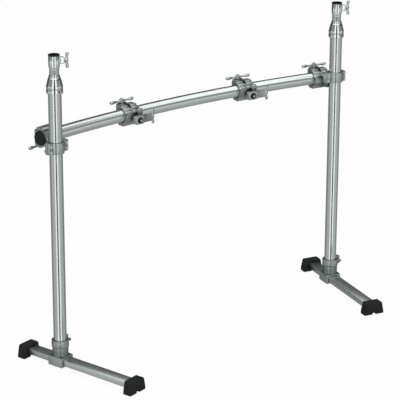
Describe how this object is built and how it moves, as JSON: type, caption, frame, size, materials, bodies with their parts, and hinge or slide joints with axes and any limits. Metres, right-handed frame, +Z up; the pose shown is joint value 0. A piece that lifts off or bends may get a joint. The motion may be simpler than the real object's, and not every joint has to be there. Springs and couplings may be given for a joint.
{
  "type": "drum rack frame",
  "caption": "Free-standing tubular frame for hanging drums: posts on swivelling T-shaped legs, a curved crossbar on corner clamps, rod clamps on the bar and sockets on top.",
  "frame": {"origin": "on the floor, in the middle of the frame's overall length and depth", "axes": "+X along the crossbar's chord from the left post to the right post, +Y away from the drummer's open side to the side the bar bows to, +Z up"},
  "size_m": [1.1938, 0.4386, 0.945],
  "materials": {
    "chrome_tube": "bright plated tube with soft brushed reflections",
    "chrome_fitting": "bright plated small parts",
    "cast_metal": "satin grey die casting",
    "leg_steel": "satin grey rectangular tube",
    "rubber": "moulded black rubber",
    "black_nylon": "moulded black nylon"
  },
  "bodies": {
    "posts": {"left_post": "chrome_tube", "right_post": "chrome_tube", "left_post_collar": "chrome_fitting", "right_post_collar": "chrome_fitting", "left_collar_bush": "black_nylon", "right_collar_bush": "black_nylon", "collar_screws": "chrome_fitting"},
    "left_riser": {"left_riser": "chrome_fitting", "left_riser_head": "chrome_fitting", "left_head_bush": "black_nylon"},
    "left_head_screw": {"left_head_wing_screw": "chrome_fitting"},
    "left_leg": {"left_base": "cast_metal", "left_base_key_screw": "chrome_fitting", "left_leg_tube": "leg_steel", "left_front_foot": "rubber", "left_back_foot": "rubber"},
    "right_riser": {"right_riser": "chrome_fitting", "right_riser_head": "chrome_fitting", "right_head_bush": "black_nylon"},
    "right_head_screw": {"right_head_wing_screw": "chrome_fitting"},
    "right_leg": {"right_base": "cast_metal", "right_base_key_screw": "chrome_fitting", "right_leg_tube": "leg_steel", "right_front_foot": "rubber", "right_back_foot": "rubber"},
    "crossbar": {"crossbar": "chrome_tube", "left_bar_cap": "black_nylon", "right_bar_cap": "black_nylon", "left_corner_clamp": "cast_metal", "left_post_cap": "cast_metal", "left_cap_screws": "chrome_fitting", "left_corner_jaw": "cast_metal", "left_corner_pins": "chrome_fitting", "left_swing_bolt": "chrome_fitting", "right_corner_clamp": "cast_metal", "right_post_cap": "cast_metal", "right_cap_screws": "chrome_fitting", "right_corner_jaw": "cast_metal", "right_corner_pins": "chrome_fitting", "right_swing_bolt": "chrome_fitting"},
    "left_cross_handle": {"left_cross_handle": "chrome_fitting"},
    "right_cross_handle": {"right_cross_handle": "chrome_fitting"},
    "clamp_a": {"clamp_a_saddle": "cast_metal", "clamp_a_jaw": "cast_metal", "clamp_a_pins": "chrome_fitting", "clamp_a_stud": "chrome_fitting", "clamp_a_swing_bolt": "chrome_fitting", "clamp_a_washer": "black_nylon"},
    "clamp_a_cross_handle": {"clamp_a_cross_handle": "chrome_fitting"},
    "clamp_a_holder": {"clamp_a_rod_holder": "cast_metal"},
    "clamp_a_wing_screw": {"clamp_a_wing_screw": "chrome_fitting"},
    "clamp_b": {"clamp_b_saddle": "cast_metal", "clamp_b_jaw": "cast_metal", "clamp_b_pins": "chrome_fitting", "clamp_b_stud": "chrome_fitting", "clamp_b_swing_bolt": "chrome_fitting", "clamp_b_washer": "black_nylon"},
    "clamp_b_cross_handle": {"clamp_b_cross_handle": "chrome_fitting"},
    "clamp_b_holder": {"clamp_b_rod_holder": "cast_metal"},
    "clamp_b_wing_screw": {"clamp_b_wing_screw": "chrome_fitting"}
  },
  "joints": [
    {"name": "crossbar_height", "type": "slide", "parent": "posts", "child": "crossbar", "axis": [0, 0, 1], "range_m": [-0.5, 0.1]},
    {"name": "left_riser_height", "type": "slide", "parent": "posts", "child": "left_riser", "axis": [0, 0, 1], "range_m": [0, 0.25]},
    {"name": "left_head_screw_turn", "type": "hinge", "parent": "left_riser", "child": "left_head_screw", "pos_m": [-0.51173, 0.06613, 0.922], "axis": [0.9135, -0.4067, 0], "continuous": true},
    {"name": "left_leg_swivel", "type": "hinge", "parent": "posts", "child": "left_leg", "pos_m": [-0.53, 0.07426, 0.06], "axis": [0, 0, 1], "range_deg": [-45, 45]},
    {"name": "left_cross_handle_turn", "type": "hinge", "parent": "crossbar", "child": "left_cross_handle", "pos_m": [-0.52216, 0.16659, 0.6521], "axis": [0, 0, -1], "continuous": true},
    {"name": "right_riser_height", "type": "slide", "parent": "posts", "child": "right_riser", "axis": [0, 0, 1], "range_m": [0, 0.25]},
    {"name": "right_head_screw_turn", "type": "hinge", "parent": "right_riser", "child": "right_head_screw", "pos_m": [0.54827, 0.06613, 0.922], "axis": [0.9135, -0.4067, 0], "continuous": true},
    {"name": "right_leg_swivel", "type": "hinge", "parent": "posts", "child": "right_leg", "pos_m": [0.53, 0.07426, 0.06], "axis": [0, 0, 1], "range_deg": [-45, 45]},
    {"name": "right_cross_handle_turn", "type": "hinge", "parent": "crossbar", "child": "right_cross_handle", "pos_m": [0.52216, 0.16659, 0.7199], "axis": [0, 0, 1], "continuous": true},
    {"name": "clamp_a_travel", "type": "hinge", "parent": "crossbar", "child": "clamp_a", "pos_m": [0, -2.74851, 0.686], "axis": [0, 0, 1], "range_deg": [-3, 3]},
    {"name": "clamp_a_cross_handle_turn", "type": "hinge", "parent": "clamp_a", "child": "clamp_a_cross_handle", "pos_m": [-0.20703, 0.20574, 0.7199], "axis": [0, 0, 1], "continuous": true},
    {"name": "clamp_a_holder_tilt", "type": "hinge", "parent": "clamp_a", "child": "clamp_a_holder", "pos_m": [-0.20253, 0.12721, 0.679], "axis": [-0.0699, 0.9976, 0], "range_deg": [-90, 90]},
    {"name": "clamp_a_wing_screw_turn", "type": "hinge", "parent": "clamp_a_holder", "child": "clamp_a_wing_screw", "pos_m": [-0.16662, 0.12973, 0.679], "axis": [0.9976, 0.0699, 0], "continuous": true},
    {"name": "clamp_b_travel", "type": "hinge", "parent": "crossbar", "child": "clamp_b", "pos_m": [0, -2.74851, 0.686], "axis": [0, 0, 1], "range_deg": [-3, 3]},
    {"name": "clamp_b_cross_handle_turn", "type": "hinge", "parent": "clamp_b", "child": "clamp_b_cross_handle", "pos_m": [0.23727, 0.20346, 0.7199], "axis": [0, 0, 1], "continuous": true},
    {"name": "clamp_b_holder_tilt", "type": "hinge", "parent": "clamp_b", "child": "clamp_b_holder", "pos_m": [0.22997, 0.12515, 0.679], "axis": [0.0801, 0.9968, 0], "range_deg": [-90, 90]},
    {"name": "clamp_b_wing_screw_turn", "type": "hinge", "parent": "clamp_b_holder", "child": "clamp_b_wing_screw", "pos_m": [0.26586, 0.12226, 0.679], "axis": [0.9968, -0.0801, 0], "continuous": true}
  ]
}
